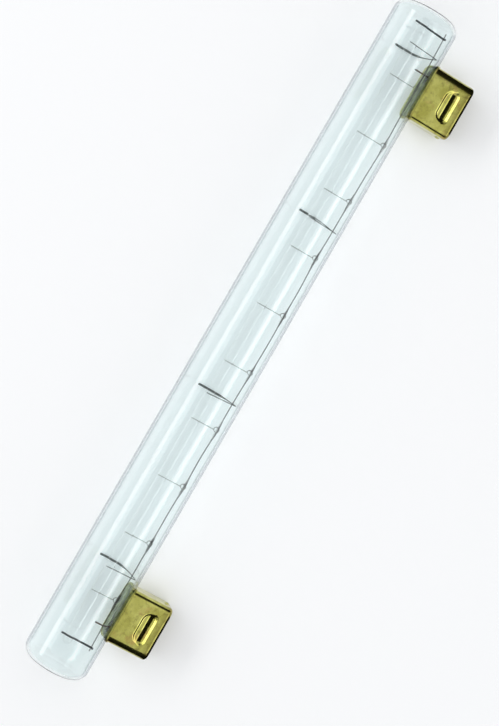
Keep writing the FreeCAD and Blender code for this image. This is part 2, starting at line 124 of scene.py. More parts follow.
# Glass rod, with its slow waves as height, length and start, and the drops of glass at the wires
ROD_RADIUS = 1.85 * MM
ROD_THINNER = 0.05 * MM
ROD_STEPS = 420
ROD_END_STEPS = 6
ROD_SIDES = 36
ROD_WAVES = ((0.03 * MM, 9.3 * MM, 0.0), (0.02 * MM, 23 * MM, 1.0))
DROP_HEIGHT = 0.35 * MM
DROP_LENGTH = 0.55 * MM
DROP_WIDTH = 0.6 * MM
DROP_REACH = 2 * MM

# Filament
FILAMENT_LEVEL = 10.2 * MM
COIL_RADIUS = 0.3 * MM
COIL_WIRE = 0.085 * MM
COIL_WIRE_SIDES = 5
COIL_PITCH = 0.335 * MM
COIL_STEPS = 8
# The share of each bay that its close turns take, and the share of the turns that lie there
CLOSE_SHARE = 0.3
CLOSE_TURNS = 0.62
# How much wider the coil is beside an eye, and over what share of half a bay
SWELL = 0.95
SWELL_REACH = 0.28
# How far the coil wanders between two eyes, and in what waves
BOW = 0.2 * MM
BOW_WAVE_ACROSS = 31 * MM
BOW_WAVE_OUT = 23 * MM
BOW_START = 0.6
# How far each eye holds the filament out of line in millimetres, from the upper end to the lower one
EYE_LIFTS = (0.8, 1.05, 0.35, -0.1, 0.4, 0.35, 0.15, 0.0, -0.2, -0.45)

# Supports of the filament. Their eyes are turned by about EYE_TURN degrees, each by a little more or less
SUPPORT_RADIUS = 0.12 * MM
SUPPORT_ROOT = 1.4 * MM
LOOP_RADIUS = 1.15 * MM
LOOP_LEVEL = 9.75 * MM
LOOP_ANGLE = math.radians(600)
LOOP_CLIMB = -0.55 * MM
EYE_TURN = 56
EYE_SWAY = 6
EYE_BEAT = 2.3

# End posts and lead-in wires
POST_RADIUS = 0.4 * MM
POST_SIDE = 0.78 * MM
POST_ROOT = 3.3 * MM
POST_HOOK = math.radians(140)
POST_LEANS = {"upper": -2.5, "lower": -1.0}
POST_ROUND = 0.1 * MM
LEAD_RADIUS = 0.3 * MM
LEAD_SIDE = 0.68 * MM
LEAD_START = 6.4 * MM
LEAD_END = 28.6 * MM
LEAD_STEPS = 12
LEAD_SHIFTS = {"upper": 0.0, "lower": -1.0 * MM}
LEAD_BEND = (10 * MM, 14 * MM)
LEAD_ROUND = 0.08 * MM
CUT_ANGLE = math.radians(50)

# Centring springs
SPRING_SIDE = 0.58 * MM
SPRING_RADIUS = 0.17 * MM
SPRING_ROOT = 0.7 * MM
SPRING_BEND = 0.6 * MM
BLADE_WIDTH = 0.9 * MM
BLADE_SHEET = 0.3 * MM
BLADE_GAP = 0.05 * MM
BLADE_SWEEP = math.radians(105)
BLADE_TAPER = math.radians(16)
BLADE_DRIFT_END = 1.2
# Each spring sits a little differently: where its blade starts, and its shift along the tube at root,
# bend and tip in millimetres
BLADE_STARTS = (math.radians(42), math.radians(72), math.radians(42), math.radians(42))
SPRING_SHIFTS = (
    (0.75, 0.2, -1.35),
    (0.2, -0.35, 1.2),
    (-1.1, -0.35, -0.35),
    (-1.0, -0.85, 0.15),
)

# Camera: the photograph's frame, and the lamp's place in it in pixels
PHOTO_SIZE = (499, 726)
PHOTO_AXIS = (232.23, 354.40)
PHOTO_LEAN = math.radians(30.08)
PHOTO_MIDDLE = 17.5
PHOTO_LENGTH = 760.0
PHOTO_VANISH = 79.0
CAMERA_HEIGHT = 0.75
SENSOR = 36.0
CLIP_START = 0.01

# Studio: soft boxes as name, lean off upright in degrees, distance, length, width, radiance and colour
SOFT_BOXES = (
    ("left_box", -53, 1.0, 1.3, 0.26, 2.5, "#fffefd"),
    ("right_box", 43, 1.0, 1.3, 0.25, 1.5, "#fdfeff"),
)
ROOM_STRENGTH = 0.87
FLOOR_SIZE = 6.0
FLOOR_LEVEL = -0.02 * MM
FLOOR_GLOW = 0.1
CARD_NEAR = 0.112
CARD_FAR = 0.172
CARD_SIDE = -0.17
CARD_FOOT = 0.001
END_CARD_EDGE = -0.006
END_CARD_HEIGHTS = {"upper": 0.2, "lower": 0.14}
SIDE_CARD_HEIGHT = 0.13
LYING_CARD_EDGES = (-0.16, -0.026)
LYING_CARD_LEVEL = 0.0005


def linear(code):
    """Turn an sRGB hex colour to linear light."""
    channels = [int(code[i : i + 2], 16) / 255 for i in (1, 3, 5)]
    return tuple(c / 12.92 if c <= 0.04045 else ((c + 0.055) / 1.055) ** 2.4 for c in channels) + (1.0,)


def add(tree, kind, settings=None, links=None):
    """Add a node with its settings and links."""
    made = tree.nodes.new(kind)
    for name, value in (settings or {}).items():
        if isinstance(name, int) or name in made.inputs:
            made.inputs[name].default_value = value
        else:
            setattr(made, name, value)
    for name, source in (links or {}).items():
        tree.links.new(source, made.inputs[name])
    return made


def noise(tree, where, size, detail):
    """Cloudy noise with blotches of about the given size."""
    made = add(tree, "ShaderNodeTexNoise", {"Scale": 1 / size, "Detail": detail}, {"Vector": where})
    return made.outputs[0]


def relief(tree, height, strength, depth):
    """Bump from a texture."""
    made = add(tree, "ShaderNodeBump", {"Strength": strength, "Distance": depth}, {"Height": height})
    return made.outputs[0]


def spread(tree, value, low=0.0, high=1.0, first=0.0, last=1.0):
    """Turn the range from low to high into the one from first to last, and stay inside it."""
    made = add(tree, "ShaderNodeMapRange", {1: low, 2: high, 3: first, 4: last}, {0: value})
    return made.outputs[0]


def combine(tree, operation, one, other):
    """Join two values by arithmetic."""
    made = add(tree, "ShaderNodeMath", {"operation": operation}, {0: one, 1: other})
    return made.outputs[0]


def tint(tree, share, base, code):
    """Blend a colour over another by a share."""
    made = add(tree, "ShaderNodeMix", {"data_type": "RGBA", 7: linear(code)}, {0: share, 6: base})
    return made.outputs[2]


def ramp(tree, value, stops):
    """Colours between stops, each a place and a colour."""
    made = add(tree, "ShaderNodeValToRGB", links={0: value})
    elements = made.color_ramp.elements
    elements[0].position = stops[0][0]
    elements[1].position = stops[-1][0]
    for place, _ in stops[1:-1]:
        elements.new(place)
    for element, (_, code) in zip(elements, stops):
        element.color = linear(code)
    return made.outputs[0]


def new_material(name):
    """Empty material and its node tree."""
    material = bpy.data.materials.new(name)
    material.use_nodes = True
    material.node_tree.nodes.clear()
    return material, material.node_tree


def clear_glass(name, colour, painted_rim_shade, depth_colour, index):
    """Clear drawn glass: nearly colourless face on, with painted grey shade where one looks along its
    straight wall but not the crowns, and faint draw lines. Its own shadow is left out, as it is so pale."""
    material, tree = new_material(name)
    where = add(tree, "ShaderNodeTexCoord").outputs["Object"]
    long_way = (0.03, 1.0, 1.0)
    stretched = add(tree, "ShaderNodeMapping", {"Scale": long_way}, {"Vector": where})
    lines = noise(tree, stretched.outputs[0], size=1.6 * MM, detail=2.0)
    bump = relief(tree, lines, strength=0.04, depth=0.01 * MM)
    slant = add(tree, "ShaderNodeLayerWeight", {"Blend": 0.5})
    place = add(tree, "ShaderNodeSeparateXYZ", links={0: where})
    apart = add(tree, "ShaderNodeMath", {"operation": "ABSOLUTE"}, {0: place.outputs["X"]})
    crown = HALF_LENGTH - SHOULDER
    fade_start = crown + 0.5 * MM
    fade_end = crown + 3.5 * MM
    straight = spread(tree, apart.outputs[0], low=fade_start, high=fade_end, first=1.0, last=0.0)
    share = combine(tree, "MULTIPLY", slant.outputs["Facing"], straight)
    # Painted shade: the glass turns greyer where its wall is seen edge on, except on the crowns
    tone = ramp(tree, share, ((0.6, colour), (0.73, painted_rim_shade), (0.8, painted_rim_shade), (0.92, colour)))
    glass = add(
        tree,
        "ShaderNodeBsdfPrincipled",
        {"Roughness": 0.0, "IOR": index, "Transmission Weight": 1.0},
        {"Base Color": tone, "Normal": bump},
    )
    veil = add(tree, "ShaderNodeBsdfTransparent", {"Color": linear("#ffffff")})
    path = add(tree, "ShaderNodeLightPath")
    mix = add(
        tree,
        "ShaderNodeMixShader",
        links={0: path.outputs["Is Shadow Ray"], 1: glass.outputs[0], 2: veil.outputs[0]},
    )
    depth = add(tree, "ShaderNodeVolumeAbsorption", {"Color": linear(depth_colour), "Density": 40.0})
    sides = {"Surface": mix.outputs[0], "Volume": depth.outputs[0]}
    add(tree, "ShaderNodeOutputMaterial", links=sides)
    return material


def metal(name, light, dark, edge, roughness, cloud_size, line_size):
    """Bare wire, strip or solder: its tone and gloss drift in clouds, a fine grain catches the light, and
    its edges have a tone of their own, dark where a thin oxide lies on it."""
    gloss_drift = 0.06
    material, tree = new_material(name)
    where = add(tree, "ShaderNodeTexCoord").outputs["Object"]
    cloud = spread(tree, noise(tree, where, cloud_size, detail=4.0), low=0.3, high=0.7)
    tone = add(
        tree,
        "ShaderNodeMix",
        {"data_type": "RGBA", 6: linear(dark), 7: linear(light)},
        {0: cloud},
    )
    gloss = spread(tree, cloud, first=roughness + gloss_drift, last=roughness - gloss_drift)
    lines = noise(tree, where, line_size, detail=3.0)
    bump = relief(tree, lines, strength=0.35, depth=0.02 * MM)
    shader = add(
        tree,
        "ShaderNodeBsdfPrincipled",
        {"Metallic": 1.0, "Specular Tint": linear(edge)},
        {"Base Color": tone.outputs[2], "Roughness": gloss, "Normal": bump},
    )
    add(tree, "ShaderNodeOutputMaterial", links={"Surface": shader.outputs[0]})
    return material


def drawn_brass():
    """Brass drawn from bright sheet and dipped in lacquer: olive gold, with brown stains, browner towards the
    contact end, a reddish heat tint in places and a gloss that changes with them."""
    brown_start = -18.8 * MM
    brown_end = -20.8 * MM
    material, tree = new_material("drawn and lacquered brass")
    where = add(tree, "ShaderNodeTexCoord").outputs["Object"]
    cloud = noise(tree, where, size=5 * MM, detail=4.0)
    gold = ramp(tree, cloud, ((0.35, "#afab4b"), (0.65, "#cac76a")))
    smudge = noise(tree, where, size=2 * MM, detail=5.0)
    brown = spread(tree, smudge, low=0.52, high=0.74, last=0.6)
    place = add(tree, "ShaderNodeSeparateXYZ", links={0: where})
    # Browner towards the contact end, set by place along the cap
    outward_brown = spread(tree, place.outputs["Y"], low=brown_start, high=brown_end, last=0.55)
    browned = tint(tree, combine(tree, "ADD", brown, outward_brown), gold, "#756c26")
    heat = noise(tree, where, size=7 * MM, detail=2.0)
    warm = spread(tree, heat, low=0.56, high=0.72, last=0.45)
    tinted = tint(tree, warm, browned, "#b67a52")
    gloss = spread(tree, brown, first=0.15, last=0.3)
    grain = noise(tree, where, size=0.9 * MM, detail=3.0)
    bump = relief(tree, grain, strength=0.3, depth=0.03 * MM)
    shader = add(
        tree,
        "ShaderNodeBsdfPrincipled",
        {"Metallic": 1.0, "Coat Weight": 0.6, "Coat Roughness": 0.12},
        {"Base Color": tinted, "Roughness": gloss, "Normal": bump},
    )
    add(tree, "ShaderNodeOutputMaterial", links={"Surface": shader.outputs[0]})
    return material


def basing_cement():
    """Baked basing cement: dull, grey green to olive, mottled and slightly grainy."""
    material, tree = new_material("baked basing cement")
    where = add(tree, "ShaderNodeTexCoord").outputs["Object"]
    cloud = noise(tree, where, size=2.5 * MM, detail=5.0)
    tone = ramp(tree, cloud, ((0.36, "#353f17"), (0.62, "#8c9765")))
    grit = noise(tree, where, size=0.25 * MM, detail=3.0)
    bump = relief(tree, grit, strength=0.5, depth=0.05 * MM)
    shader = add(
        tree,
        "ShaderNodeBsdfPrincipled",
        {"Roughness": 0.85},
        {"Base Color": tone, "Normal": bump},
    )
    add(tree, "ShaderNodeOutputMaterial", links={"Surface": shader.outputs[0]})
    return material


def begin(name):
    """Name the primitive just added, put its place into its mesh and open it with all of it selected."""
    piece = bpy.context.object
    piece.name = name
    piece.data.name = name
    bpy.ops.object.transform_apply(location=True, rotation=True, scale=True)
    bpy.ops.object.mode_set(mode="EDIT")
    bpy.ops.mesh.select_mode(type="VERT")
    bpy.ops.mesh.select_all(action="SELECT")
    return piece


def pick(piece, kind, wanted):
    """Select only the edges or faces whose middle the test picks."""
    bpy.ops.mesh.select_mode(type="EDGE" if kind == "edges" else "FACE")
    bpy.ops.mesh.select_all(action="DESELECT")
    mesh = bmesh.from_edit_mesh(piece.data)
    for item in getattr(mesh, kind):
        corners = [vertex.co for vertex in item.verts]
        item.select_set(wanted(sum(corners, Vector()) / len(corners)))
    bmesh.update_edit_mesh(piece.data)


def finish_mesh():
    """Close seams, point the faces outwards and leave edit mode."""
    bpy.ops.mesh.select_mode(type="VERT")
    bpy.ops.mesh.select_all(action="SELECT")
    bpy.ops.mesh.remove_doubles(threshold=SEAM)
    bpy.ops.mesh.normals_make_consistent(inside=False)
    bpy.ops.object.mode_set(mode="OBJECT")


def apply_modifier(piece, kind, **settings):
    """Add a modifier with its settings and apply it."""
    bpy.context.view_layer.objects.active = piece
    modifier = piece.modifiers.new(kind.lower(), kind)
    for name, value in settings.items():
        setattr(modifier, name, value)
    bpy.ops.object.modifier_apply(modifier=modifier.name)


def shade(piece, angle):
    """Smooth shading, with edges sharp where they fold by more than the angle in degrees."""
    bpy.ops.object.select_all(action="DESELECT")
    piece.select_set(True)
    bpy.context.view_layer.objects.active = piece
    bpy.ops.object.shade_smooth_by_angle(angle=math.radians(angle))


def copy_piece(piece, name, move):
    """Another of the same piece with its own mesh, moved in lamp axes."""
    twin = piece.copy()
    twin.data = piece.data.copy()
    twin.name = name
    twin.data.name = name
    bpy.context.scene.collection.objects.link(twin)
    twin.data.transform(move)
    return twin


def set_in(piece, node, material):
    """Lay the finished piece down in its node's place on the body."""
    piece.data.transform(LAMP)
    piece.data.materials.clear()
    piece.data.materials.append(material)
    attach(piece, BODY)
    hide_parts(node)


def turned(name, outline, steps):
    """Turn half a section about the lamp's axis; the outline is pairs of place along it and radius."""
    bpy.ops.object.select_all(action="DESELECT")
    bpy.ops.mesh.primitive_plane_add(size=MM)
    piece = begin(name)
    bpy.ops.mesh.merge(type="CENTER")
    place = Vector()
    for i, (along, radius) in enumerate(outline):
        corner = Vector((along, 0, radius))
        if i:
            bpy.ops.mesh.extrude_region_move(TRANSFORM_OT_translate={"value": corner - place})
        else:
            bpy.ops.transform.translate(value=corner - place)
        place = corner
    bpy.ops.mesh.select_all(action="SELECT")
    bpy.ops.mesh.spin(steps=steps, angle=2 * math.pi, center=(0, 0, 0), axis=(1, 0, 0))
    finish_mesh()
    return piece


def bent_wire(name, start, moves, radius, sides):
    """Round wire bent as on a jig, straight out at first. A move is a length, or a bend: its radius, its
    angle, its axis and how far it climbs along that axis."""
    place = Vector(start)
    heading = Vector((0, 0, 1))
    bpy.ops.object.select_all(action="DESELECT")
    bpy.ops.mesh.primitive_circle_add(vertices=sides, radius=radius, fill_type="NGON", location=place)
    piece = begin(name)
    bpy.ops.mesh.select_mode(type="FACE")
    bpy.ops.mesh.select_all(action="SELECT")
    for move in moves:
        if isinstance(move, float):
            bpy.ops.mesh.extrude_region_move(TRANSFORM_OT_translate={"value": heading * move})
            place = place + heading * move
            continue
        bend, angle, axis, climb = move
        axis = Vector(axis)
        centre = place + axis.cross(heading) * bend
        longest = min(BEND_STEP, 2 * math.acos(1 - BEND_ERROR / bend))
        steps = math.ceil(angle / longest)
        turn = Matrix.Rotation(angle / steps, 3, axis)
        for _ in range(steps):
            target = centre + turn @ (place - centre) + axis * (climb / steps)
            bpy.ops.mesh.extrude_region_move(TRANSFORM_OT_translate={"value": target - place})
            mesh = bmesh.from_edit_mesh(piece.data)
            for vertex in mesh.verts:
                if vertex.select:
                    vertex.co = target + turn @ (vertex.co - target)
            bmesh.update_edit_mesh(piece.data)
            centre += axis * (climb / steps)
            place = target
            heading = turn @ heading
    finish_mesh()
    return piece


def round_cut(wire, width):
    """Round the cut ends of a wire."""
    apply_modifier(wire, "BEVEL", width=width, segments=2, limit_method="ANGLE", angle_limit=CUT_ANGLE)


def smooth_step(low, high, value):
    """Rise softly from 0 at low to 1 at high."""
    share = min(max((value - low) / (high - low), 0.0), 1.0)
    return share * share * (3 - 2 * share)


def make_tube(glass):
    """Blown tube: straight wall, round shoulders and a shallow crown at each end, one even thickness."""
    run = math.sqrt((CROWN - SHOULDER) ** 2 - (RADIUS - SHOULDER) ** 2)
    lean = math.atan2(RADIUS - SHOULDER, run)
    middle = HALF_LENGTH - CROWN
    end = []
    for i in range(CROWN_STEPS + 1):
        angle = lean * i / CROWN_STEPS
        end.append((middle + CROWN * math.cos(angle), CROWN * math.sin(angle)))
    for i in range(1, SHOULDER_STEPS + 1):
        angle = lean + (math.pi / 2 - lean) * i / SHOULDER_STEPS
        along = middle + run + SHOULDER * math.cos(angle)
        end.append((along, RADIUS - SHOULDER + SHOULDER * math.sin(angle)))
    outline = end + [(-along, radius) for along, radius in reversed(end)]
    tube = turned("blown_tube", outline, TUBE_STEPS)
    apply_modifier(tube, "SOLIDIFY", thickness=TUBE_WALL, offset=-1.0, use_even_offset=True)
    shade(tube, SMOOTH_ANGLE)
    set_in(tube, "glass_tube", glass)


def make_rod(glass, wire_places):
    """Drawn glass rod with melted round ends, and a drop of glass drawn up round each wire."""
    low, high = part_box("glass_support_rod")
    first, last = high.x - ROD_RADIUS, low.x + ROD_RADIUS
    outline = []
    for i in range(ROD_END_STEPS + 1):
        angle = math.pi / 2 * i / ROD_END_STEPS
        outline.append((first + ROD_RADIUS * math.cos(angle), ROD_RADIUS * math.sin(angle)))
    for i in range(1, ROD_STEPS):
        along = first + (last - first) * i / ROD_STEPS
        wave = sum(height * math.sin(along / length + start) for height, length, start in ROD_WAVES)
        outline.append((along, ROD_RADIUS - ROD_THINNER + wave))
    for i in range(ROD_END_STEPS + 1):
        angle = math.pi / 2 * (1 - i / ROD_END_STEPS)
        outline.append((last - ROD_RADIUS * math.cos(angle), ROD_RADIUS * math.sin(angle)))
    rod = turned("drawn_glass_rod", outline, ROD_SIDES)
    for vertex in rod.data.vertices:
        x, y, z = vertex.co
        nearest = min(abs(x - place) for place in wire_places)
        if z > 0 and nearest < DROP_REACH:
            fall = (nearest / DROP_LENGTH) ** 2 + (y / DROP_WIDTH) ** 2
            vertex.co.z += DROP_HEIGHT * math.exp(-fall)
    shade(rod, SMOOTH_ANGLE)
    set_in(rod, "glass_support_rod", glass)


def dimple_depth(along, level):
    """How far the sheet is pressed in: a shallow shelf, then a slot with round ends whose deepest line
    lies nearer to the outer face."""
    slot_end = 0.0001
    lift = level - DIMPLE_LEVEL
    past = max(abs(along) - DIMPLE_HALF_LENGTH + DIMPLE_HALF_HEIGHT, 0.0)
    apart = math.hypot(past, lift) / DIMPLE_HALF_HEIGHT
    shelf = DIMPLE_SHELF * (1 - smooth_step(SHELF_EDGE, 1.0, apart))
    beyond = max(abs(along) - DIMPLE_HALF_LENGTH + SLOT_HALF, 0.0) / SLOT_HALF
    reach = math.sqrt(max(1 - beyond**2, slot_end))
    place = (lift - SLOT_PLACE) / (SLOT_HALF * reach)
    if place < SLOT_LEAN:
        share = max(1 + place, 0.0) / (1 + SLOT_LEAN)
    else:
        share = max(1 - place, 0.0) / (1 - SLOT_LEAN)
        shelf *= share
    return shelf + (DIMPLE_DEPTH - DIMPLE_SHELF) * share * reach


def press_cap(piece):
    """Press the dimples into the long sides and the pips out of the ends."""
    mesh = bmesh.from_edit_mesh(piece.data)
    for vertex in mesh.verts:
        x, y, z = vertex.co
        if abs(y) > CAP_HALF_WIDTH - TOUCH:
            vertex.co.y -= math.copysign(dimple_depth(x, z), y)
        if abs(x) > CAP_HALF_LENGTH - TOUCH:
            reach = math.hypot(y, z - PIP_LEVEL) / PIP_RADIUS
            vertex.co.x += math.copysign(PIP_HEIGHT * (1 - smooth_step(PIP_TOP, 1.0, reach)), x)
    bmesh.update_edit_mesh(piece.data)


def seat_foot(piece):
    """Bring the open rim of the cap onto the tube's round surface."""
    radius = RADIUS + FOOT_GAP + CAP_SHEET
    mesh = bmesh.from_edit_mesh(piece.data)
    for vertex in mesh.verts:
        if vertex.is_boundary:
            vertex.co.z = math.sqrt(radius**2 - vertex.co.y**2)
    bmesh.update_edit_mesh(piece.data)


def cut_across(low, high, step, normal):
    """Cut rings across the whole piece, at even steps."""
    count = round((high - low) / step)
    for i in range(count + 1):
        place = Vector(normal) * (low + (high - low) * i / count)
        bpy.ops.mesh.select_all(action="SELECT")
        bpy.ops.mesh.bisect(plane_co=place, plane_no=normal)


def make_caps(brass):
    """Brass caps drawn from sheet: round corners, a small lip at the foot, a catch dimple on both long
    sides and a pip on both ends."""
    height = CAP_REACH - CAP_START
    corner_x = 0.9 * CAP_HALF_LENGTH
    corner_y = 0.9 * CAP_HALF_WIDTH
    bpy.ops.object.select_all(action="DESELECT")
    bpy.ops.mesh.primitive_cube_add(
        size=1.0,
        location=(0, 0, CAP_START + height / 2),
        scale=(2 * CAP_HALF_LENGTH, 2 * CAP_HALF_WIDTH, height),
    )
    cap = begin("peg_cap")
    pick(cap, "faces", lambda middle: middle.z < CAP_START + TOUCH)
    bpy.ops.mesh.delete(type="FACE")
    pick(cap, "edges", lambda middle: abs(middle.x) > corner_x and abs(middle.y) > corner_y)
    bpy.ops.mesh.bevel(offset=CAP_CORNER, segments=CAP_CORNER_STEPS, profile=0.5, affect="EDGES")
    pick(cap, "edges", lambda middle: middle.z > CAP_REACH - TOUCH)
    bpy.ops.mesh.bevel(offset=CAP_EDGE, segments=CAP_EDGE_STEPS, profile=0.5, affect="EDGES")
    for low, high, step, normal in CAP_RINGS:
        cut_across(low, high, step, normal)
    press_cap(cap)
    seat_foot(cap)
    bpy.ops.mesh.select_mode(type="EDGE")
    bpy.ops.mesh.select_all(action="DESELECT")
    bpy.ops.mesh.select_non_manifold(extend=False, use_wire=False, use_boundary=True)
    grow_x = (CAP_HALF_LENGTH + FOOT_LIP) / CAP_HALF_LENGTH
    grow_y = (CAP_HALF_WIDTH + FOOT_LIP) / CAP_HALF_WIDTH
    bpy.ops.mesh.extrude_edges_move(TRANSFORM_OT_translate={"value": (0, 0, 0)})
    bpy.ops.transform.resize(value=(grow_x, grow_y, 1.0), center_override=(0, 0, 0))
    seat_foot(cap)
    finish_mesh()
    apply_modifier(cap, "SOLIDIFY", thickness=CAP_SHEET, offset=-1.0, use_even_offset=True)
    shade(cap, FOLD_ANGLE)
    for end, place in CAP_PLACES.items():
        twin = copy_piece(cap, f"drawn_cap_{end}", Matrix.Translation((place, 0, 0)))
        set_in(twin, f"peg_cap_{end}", brass)
    bpy.data.objects.remove(cap)


def filament_lift(along, places):
    """How far the filament lies out of line: straight from eye to eye, and true at the posts."""
    lifts = [0.0, *EYE_LIFTS, 0.0]
    for i in range(len(places) - 1):
        if along >= places[i + 1] or i == len(places) - 2:
            share = (along - places[i + 1]) / (places[i] - places[i + 1])
            return MM * (lifts[i + 1] + (lifts[i] - lifts[i + 1]) * share)


def make_filament(tungsten, eyes):
    """Coiled filament that wanders a little between the eyes, with its turns wider and closer beside each
    eye. The pitch is coarser than the real one, so that it shows."""
    low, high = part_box("filament")
    held = [high.x, *eyes, low.x]
    length = high.x - low.x
    turns = round(length / COIL_PITCH)
    bay = (eyes[0] - eyes[-1]) / (len(eyes) - 1)
    bpy.ops.object.select_all(action="DESELECT")
    bpy.ops.mesh.primitive_circle_add(
        vertices=COIL_WIRE_SIDES,
        radius=COIL_WIRE,
        location=(0, 0, 0),
        rotation=(math.pi / 2, 0, 0),
    )
    coil = begin("coiled_filament")
    bpy.ops.transform.translate(value=(0, 0, COIL_RADIUS - COIL_WIRE))
    bpy.ops.object.mode_set(mode="OBJECT")
    apply_modifier(
        coil,
        "SCREW",
        axis="X",
        angle=2 * math.pi,
        screw_offset=length / turns,
        iterations=turns,
        steps=COIL_STEPS,
        render_steps=COIL_STEPS,
    )
    bpy.ops.object.mode_set(mode="EDIT")
    bpy.ops.mesh.select_mode(type="EDGE")
    bpy.ops.mesh.select_all(action="DESELECT")
    bpy.ops.mesh.select_non_manifold(extend=False)
    bpy.ops.mesh.edge_face_add()
    finish_mesh()
    for vertex in coil.data.vertices:
        along = low.x + vertex.co.x
        if eyes[-1] - bay / 2 < along < eyes[0] + bay / 2:
            eye = min(eyes, key=lambda place: abs(along - place))
            apart = abs(along - eye) / (bay / 2)
            close = apart * CLOSE_SHARE / CLOSE_TURNS
            loose = 1 - (1 - apart) * (1 - CLOSE_SHARE) / (1 - CLOSE_TURNS)
            apart = max(close, loose)
            along = eye + math.copysign(apart * bay / 2, along - eye)
            swell = 1 + SWELL * math.exp(-((apart / SWELL_REACH) ** 4))
            bow = math.sin(math.pi * apart / 2) ** 2 if eyes[-1] < along < eyes[0] else 0.0
            vertex.co.y = vertex.co.y * swell + BOW * bow * math.sin(along / BOW_WAVE_ACROSS)
            vertex.co.z = vertex.co.z * swell + BOW * bow * math.sin(along / BOW_WAVE_OUT + BOW_START)
        vertex.co.x = along
        vertex.co.z += FILAMENT_LEVEL + filament_lift(along, held)
    shade(coil, SMOOTH_ANGLE)
    set_in(coil, "filament", tungsten)


def make_supports(wire, eyes):
    """Support wires: a straight stem that ends in a curl of one turn and a half round the filament."""
    bend = 2 * SUPPORT_RADIUS
    start = LOOP_LEVEL - LOOP_RADIUS
    stem = SUPPORT_ROOT + start - bend
    elbow = (bend, math.pi / 2, (1, 0, 0), 0.0)
    curl = (LOOP_RADIUS, LOOP_ANGLE, (-1, 0, 0), LOOP_CLIMB)
    root = (0, 0, -SUPPORT_ROOT)
    loop = bent_wire("support_wire", root, [stem, elbow, curl], SUPPORT_RADIUS, THIN_SIDES)
    shade(loop, SMOOTH_ANGLE)
    for i, place in enumerate(eyes):
        turn = math.radians(EYE_TURN + EYE_SWAY * math.sin(EYE_BEAT * i))
        move = Matrix.Translation((place, 0, 0)) @ Matrix.Rotation(turn, 4, "Z")
        twin = copy_piece(loop, f"support_wire_{i + 1:02d}", move)
        for vertex in twin.data.vertices:
            vertex.co.z += EYE_LIFTS[i] * MM * min(max(vertex.co.z / start, 0.0), 1.0)
        set_in(twin, f"filament_support_{i + 1:02d}", wire)
    bpy.data.objects.remove(loop)


def make_springs(strip, places):
    """Centring springs: a wire arm that turns along the tube's wall and ends in a flattened blade."""
    wall = RADIUS - TUBE_WALL - BLADE_GAP - BLADE_SHEET / 2
    side = SPRING_SIDE + SPRING_BEND
    tip = math.sqrt((wall - SPRING_BEND) ** 2 - side**2)
    lean = math.atan2(side, tip)
    elbow = (SPRING_BEND, math.pi / 2 + lean, (1, 0, 0), 0.0)
    sweep = (wall, BLADE_SWEEP - lean, (1, 0, 0), 0.0)
    moves = [SPRING_ROOT + tip, elbow, sweep]
    spring = bent_wire("spring", (0, -SPRING_SIDE, -SPRING_ROOT), moves, SPRING_RADIUS, THIN_SIDES)
    shade(spring, FOLD_ANGLE)
    for i, along in enumerate(places):
        twin = copy_piece(spring, f"formed_spring_{i + 1}", Matrix())
        root, bend, end = (shift * MM for shift in SPRING_SHIFTS[i])
        for vertex in twin.data.vertices:
            x, y, z = vertex.co
            reach = math.hypot(y, z)
            angle = math.atan2(-y, z)
            if reach > wall - 2 * SPRING_RADIUS and y < -SPRING_SIDE - SPRING_RADIUS:
                share = smooth_step(BLADE_STARTS[i], BLADE_STARTS[i] + BLADE_TAPER, angle)
                x *= 1 + share * (BLADE_WIDTH / 2 / SPRING_RADIUS - 1)
                thin = 1 + share * (BLADE_SHEET / 2 / SPRING_RADIUS - 1)
                vertex.co.y *= (wall + (reach - wall) * thin) / reach
                vertex.co.z *= (wall + (reach - wall) * thin) / reach
                x += bend + (end - bend) * smooth_step(lean, BLADE_DRIFT_END, angle)
            else:
                x += root + (bend - root) * min(max(z / wall, 0.0), 1.0)
            vertex.co.x = along + x
        set_in(twin, f"centring_spring_{i + 1}", strip)
    bpy.data.objects.remove(spring)


def make_posts(wire, places):
    """Stiff end posts with a hook that clamps the end of the filament."""
    moves = [POST_ROOT + FILAMENT_LEVEL, (POST_SIDE, POST_HOOK, (-1, 0, 0), 0.0)]
    post = bent_wire("post", (0, -POST_SIDE, -POST_ROOT), moves, POST_RADIUS, THICK_SIDES)
    round_cut(post, POST_ROUND)
    shade(post, SMOOTH_ANGLE)
    for end, along in places.items():
        lean = Matrix.Rotation(math.radians(POST_LEANS[end]), 4, "Y")
        twin = copy_piece(post, f"hooked_post_{end}", Matrix.Translation((along, 0, 0)) @ lean)
        set_in(twin, f"end_post_{end}", wire)
    bpy.data.objects.remove(post)


def make_leads(wire, places):
    """Lead-in wires with a round cut end, the lower one bent a little inside the tube."""
    moves = [(LEAD_END - LEAD_START) / LEAD_STEPS] * LEAD_STEPS
    lead = bent_wire("lead", (0, -LEAD_SIDE, LEAD_START), moves, LEAD_RADIUS, THICK_SIDES)
    round_cut(lead, LEAD_ROUND)
    shade(lead, SMOOTH_ANGLE)
    for end, along in places.items():
        twin = copy_piece(lead, f"lead_in_{end}", Matrix.Translation((along, 0, 0)))
        for vertex in twin.data.vertices:
            vertex.co.x += LEAD_SHIFTS[end] * (1 - smooth_step(*LEAD_BEND, vertex.co.z))
        set_in(twin, f"lead_wire_{end}", wire)
    bpy.data.objects.remove(lead)


def dress(node, material):
    """Give a node that is kept as it is its material."""
    piece = frame["nodes"][node]
    piece.data.materials.clear()
    piece.data.materials.append(material)


def middle_of(node):
    """A node's place along the lamp."""
    low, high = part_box(node)
    return (low.x + high.x) / 2


